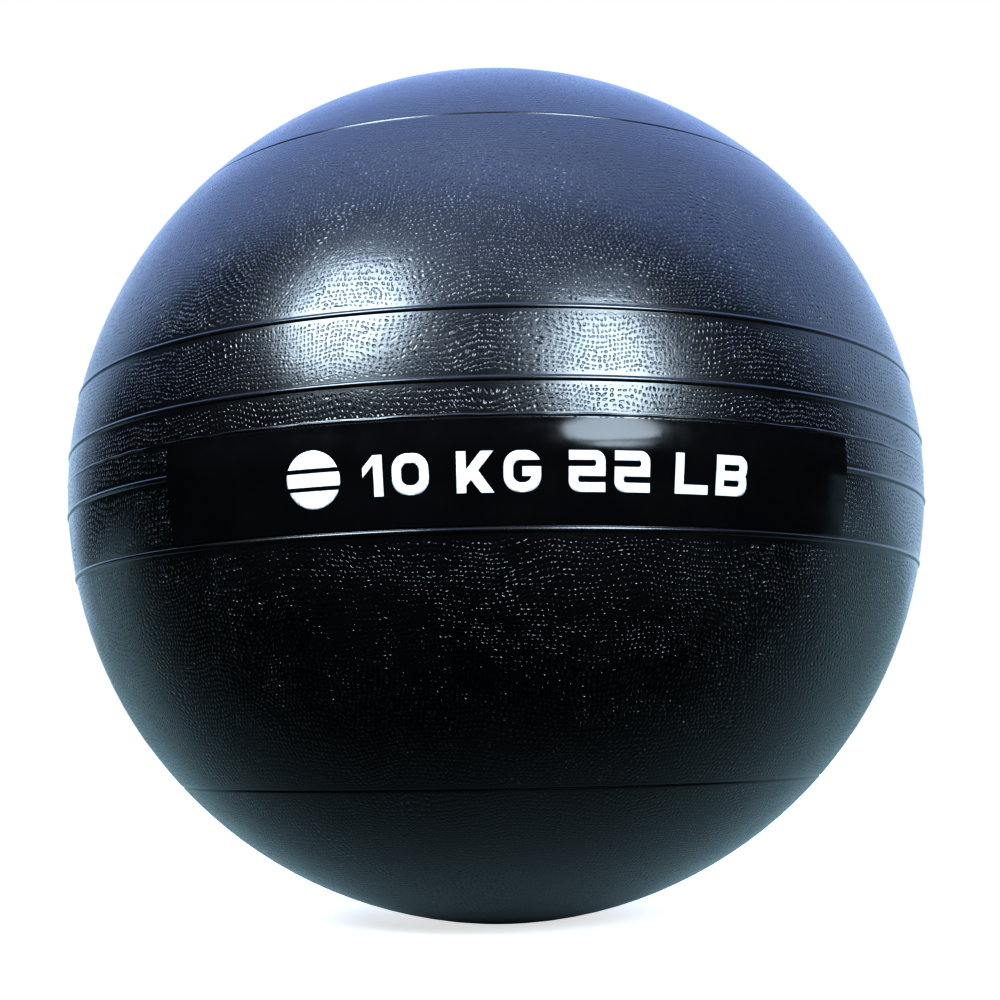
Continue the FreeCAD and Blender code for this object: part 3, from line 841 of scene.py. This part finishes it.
def make_camera():
    """The camera, from where it stands round the ball and where the ball falls in the frame."""
    azimuth, elevation = math.radians(CAMERA_AZIMUTH), math.radians(CAMERA_ELEVATION)
    roll = math.radians(CAMERA_ROLL)
    centre = Vector((0, 0, CENTRE_Z))
    away = Vector((math.sin(azimuth) * math.cos(elevation), -math.cos(azimuth) * math.cos(elevation),
                   math.sin(elevation)))
    data = bpy.data.cameras.new("camera")
    data.sensor_width = SENSOR_MM
    data.lens = LENS_MM
    data.clip_start, data.clip_end = 0.01, 50.0
    camera = add_object("camera", data)
    facing = (-away).to_track_quat("-Z", "Y").to_matrix()
    turn_right = math.atan(BALL_LEFT * SENSOR_MM / LENS_MM)
    turn_down = math.atan(BALL_UP * SENSOR_MM / LENS_MM)
    aim = Matrix.Rotation(-turn_right, 3, "Y") @ Matrix.Rotation(-turn_down, 3, "X")
    turned = facing @ aim @ Matrix.Rotation(roll, 3, "Z")
    place = centre + away * (CAMERA_DISTANCE * RADIUS)
    camera.matrix_world = Matrix.Translation(place) @ turned.to_4x4()
    bpy.context.scene.camera = camera


# ---- studio ------------------------------------------------------------------------------------
def direction_of(azimuth, elevation):
    """Unit direction: azimuth 0 is the label's side (-Y), 90 is +X."""
    az, el = math.radians(azimuth), math.radians(elevation)
    return Vector((math.sin(az) * math.cos(el), -math.cos(az) * math.cos(el), math.sin(el)))


SOFTBOXES = (
    # azimuth, elevation, distance, width, height, power, colour
    (-41.0, 34.5, 1.15, 0.6, 0.55, 18.0, (0.74, 0.88, 1.0)),
    (25.5, 21.5, 1.15, 0.51, 0.62, 17.5, (0.74, 0.88, 1.0)),
)
SWEEP_AZIMUTH, SWEEP_ELEVATION = 165.5, 45.0    # the middle of the lit backdrop and ceiling
SWEEP_EDGE = (0.4, 0.55)                        # cosines from there where it starts and is full
SWEEP_LOW = (1.1, 1.5, 1.95, 1.0)               # its colour near the horizon
SWEEP_HIGH = (0.86, 1.2, 2.2, 1.0)              # and high up
OVERHEAD = (-8.0, 66.0, 8.0, (0.97, 1.19, 1.85))    # azimuth, elevation, sharpness, colour
# colour of the floor's painted glow, which everything but the camera sees in place of the pale floor
PAINTED_FLOOR_GLOW_COLOUR = (0.49, 0.75, 0.87)
FLOOR_EDGE = (-0.13, 0.03)      # the y where the floor's painted glow starts and is full; painted dark in front
FLOOR_LEFT = 0.32               # how much further back that is, per metre to the left, so the painted glow is darker on the left
FLOOR_SHADE = (0.012, 0.055)    # the same for the distance from the foot: a painted shadow of the ball round its foot


def softbox(index, azimuth, elevation, distance, width, height, power, colour):
    """An oval softbox that faces the ball's centre, and that the camera doesn't see."""
    data = bpy.data.lights.new(f"softbox_{index}", "AREA")
    data.shape = "ELLIPSE"
    data.size, data.size_y = width, height
    data.energy = power
    data.color = colour
    lamp = add_object(f"softbox_{index}", data)
    away = direction_of(azimuth, elevation)
    facing = away.to_track_quat("Z", "Y").to_matrix()
    place = Vector((0, 0, CENTRE_Z)) + away * distance
    lamp.matrix_world = Matrix.Translation(place) @ facing.to_4x4()
    lamp.visible_camera = False


def make_world():
    """A soft backdrop and ceiling behind the ball; the camera itself sees plain white there."""
    world = bpy.data.worlds.new("studio")
    bpy.context.scene.world = world
    tree = Tree(world)
    towards = tree.node("ShaderNodeTexCoord").outputs["Generated"]
    middle = direction_of(SWEEP_AZIMUTH, SWEEP_ELEVATION)
    level = tree.ramp(tree.vector("DOT_PRODUCT", towards, tuple(middle)), *SWEEP_EDGE)
    height = tree.node("ShaderNodeSeparateXYZ", {"Vector": towards}).outputs[2]
    tint = tree.node("ShaderNodeMix", {"A": SWEEP_LOW, "B": SWEEP_HIGH}, data_type="RGBA")
    tree.put(tint.inputs["Factor"], tree.ramp(height, 0.05, 0.8))
    sweep = tree.scaled(tint.outputs["Result"], level)
    azimuth, elevation, sharpness, colour = OVERHEAD
    cosine = tree.vector("DOT_PRODUCT", towards, tuple(direction_of(azimuth, elevation)))
    fall = tree.math("EXPONENT", tree.math("MULTIPLY_ADD", cosine, sharpness, -sharpness))
    total = tree.vector("ADD", sweep, tree.scaled(colour, fall))
    soft = tree.node("ShaderNodeBackground", {"Color": total})
    plain = tree.node("ShaderNodeBackground", {"Color": WHITE, "Strength": 1.0})
    seen = tree.node("ShaderNodeLightPath").outputs["Is Camera Ray"]
    mixed = tree.node("ShaderNodeMixShader", {0: seen, 1: soft.outputs[0], 2: plain.outputs[0]})
    tree.node("ShaderNodeOutputWorld", {"Surface": mixed.outputs[0]})


def make_floor():
    """A plain pale floor for the camera; everything else sees a dim painted glow instead, painted dark
    in front and on the left and with a painted shadow round the ball's foot, so that it gives little
    light back to the ball.
    """
    material = bpy.data.materials.new("floor_pale")
    tree = Tree(material)
    place = tree.node("ShaderNodeTexCoord").outputs["Object"]
    x, y, _ = tree.node("ShaderNodeSeparateXYZ", {"Vector": place}).outputs
    depth = tree.math("MULTIPLY_ADD", tree.math("MINIMUM", x, 0.0), FLOOR_LEFT, y)
    pale = tree.node("ShaderNodeBsdfDiffuse", {"Color": (0.8, 0.8, 0.8, 1.0)})
    glow = tree.node("ShaderNodeEmission", {"Color": WHITE, "Strength": 0.75})
    lit = tree.node("ShaderNodeAddShader", {0: pale.outputs[0], 1: glow.outputs[0]})
    # painted shadow of the ball: the floor's painted glow fades towards the foot
    under = tree.ramp(tree.vector("LENGTH", place), *FLOOR_SHADE)
    strength = tree.math("MULTIPLY", tree.ramp(depth, *FLOOR_EDGE), under)
    # painted glow of the floor, seen by every ray but the camera's
    painted_floor_glow = tree.node("ShaderNodeEmission", {"Color": (*PAINTED_FLOOR_GLOW_COLOUR, 1.0), "Strength": strength})
    seen = tree.node("ShaderNodeLightPath").outputs["Is Camera Ray"]
    mixed = tree.node("ShaderNodeMixShader", {0: seen, 1: painted_floor_glow.outputs[0], 2: lit.outputs[0]})
    tree.node("ShaderNodeOutputMaterial", {"Surface": mixed.outputs[0]})
    mesh = bpy.data.meshes.new("floor")
    reach = 20.0
    corners = [(-reach, -reach, 0), (reach, -reach, 0), (reach, reach, 0), (-reach, reach, 0)]
    mesh.from_pydata(corners, [], [(0, 1, 2, 3)])
    mesh.materials.append(material)
    add_object("floor", mesh)


make_ball()
make_camera()
make_world()
make_floor()
for number, box in enumerate(SOFTBOXES):
    softbox(number, *box)
bpy.context.scene.view_settings.view_transform = "Standard"
bpy.context.scene.view_settings.gamma = 0.78
bpy.context.view_layer.update()
